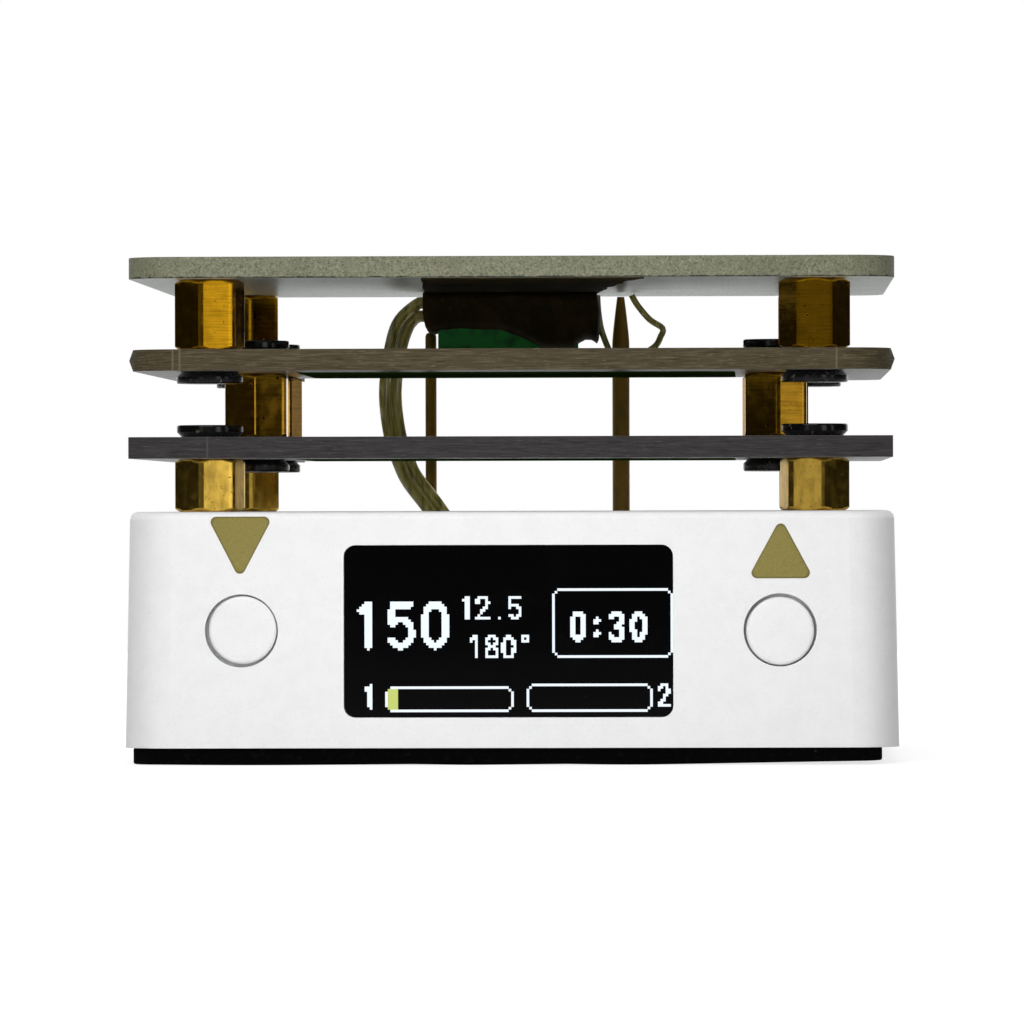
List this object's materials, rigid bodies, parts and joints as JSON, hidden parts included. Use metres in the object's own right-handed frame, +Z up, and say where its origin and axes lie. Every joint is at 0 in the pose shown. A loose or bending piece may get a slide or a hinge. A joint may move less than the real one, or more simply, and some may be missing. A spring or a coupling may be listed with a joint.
{
  "type": "pcb preheater",
  "caption": "Miniature hot plate for circuit boards: a white housing with a display and two buttons carries a square heater plate above stacked heat shields on brass standoffs.",
  "frame": {"origin": "under the middle of the object, on the plane that the foot pad rests on", "axes": "+X to the right seen from the front, -Y out of the front with the display, +Z up"},
  "size_m": [0.0506, 0.0506, 0.0331],
  "materials": {
    "white_plastic": "fine matt texture",
    "cap_plastic": "satin",
    "black_rubber": "matt",
    "grey_plastic": "matt",
    "green_board": "solder mask",
    "black_plastic": "matt",
    "dark_glass": "polished",
    "socket_steel": "bright",
    "brass": "bright, pitted",
    "blasted_aluminium": "blasted, heat-tinted",
    "brown_laminate": "sawn laminate edge",
    "grey_laminate": "sawn laminate edge",
    "black_steel": "glossy black",
    "black_sealant": "cured silicone",
    "sleeve_olive": "glass-fibre sleeve"
  },
  "bodies": {
    "body": {"board_header": "black_plastic", "bottom_cover": "grey_plastic", "case_shell": "white_plastic", "display_lens": "dark_glass", "display_panel": "dark_glass", "foot_pad": "black_rubber", "front_board": "green_board", "heater_plate": "blasted_aluminium", "heater_screw_front_left": "black_steel", "heater_screw_front_right": "black_steel", "heater_screw_rear_left": "black_steel", "heater_screw_rear_right": "black_steel", "left_switch_body": "black_plastic", "lower_bottom_screw_front_left": "black_steel", "lower_bottom_screw_front_right": "black_steel", "lower_bottom_screw_rear_left": "black_steel", "lower_bottom_screw_rear_right": "black_steel", "lower_plate": "grey_laminate", "lower_standoff_front_left": "brass", "lower_standoff_front_right": "brass", "lower_standoff_rear_left": "brass", "lower_standoff_rear_right": "brass", "lower_top_screw_front_left": "black_steel", "lower_top_screw_front_right": "black_steel", "lower_top_screw_rear_left": "black_steel", "lower_top_screw_rear_right": "black_steel", "main_board": "green_board", "middle_bottom_screw_front_left": "black_steel", "middle_bottom_screw_front_right": "black_steel", "middle_bottom_screw_rear_left": "black_steel", "middle_bottom_screw_rear_right": "black_steel", "middle_plate": "brown_laminate", "middle_standoff_front_left": "brass", "middle_standoff_front_right": "brass", "middle_standoff_rear_left": "brass", "middle_standoff_rear_right": "brass", "middle_top_screw_front_left": "black_steel", "middle_top_screw_front_right": "black_steel", "middle_top_screw_rear_left": "black_steel", "middle_top_screw_rear_right": "black_steel", "power_lead_a": "sleeve_olive", "power_lead_b": "sleeve_olive", "probe_pin": "brass", "right_switch_body": "black_plastic", "sealant_block": "black_sealant", "sensor_lead_left": "sleeve_olive", "sensor_lead_right": "sleeve_olive", "sensor_pin": "brass", "terminal_board": "green_board", "upper_standoff_front_left": "brass", "upper_standoff_front_right": "brass", "upper_standoff_rear_left": "brass", "upper_standoff_rear_right": "brass", "usb_socket": "socket_steel"},
    "left_button": {"left_button_cap": "cap_plastic", "left_switch_plunger": "black_plastic"},
    "right_button": {"right_button_cap": "cap_plastic", "right_switch_plunger": "black_plastic"}
  },
  "joints": [
    {"name": "left_button_press", "type": "slide", "parent": "body", "child": "left_button", "axis": [0, 1, 0], "range_m": [0, 0.0003], "stiffness_N_per_m": 4000, "springref_m": -0.0002},
    {"name": "right_button_press", "type": "slide", "parent": "body", "child": "right_button", "axis": [0, 1, 0], "range_m": [0, 0.0003], "stiffness_N_per_m": 4000, "springref_m": -0.0002}
  ]
}
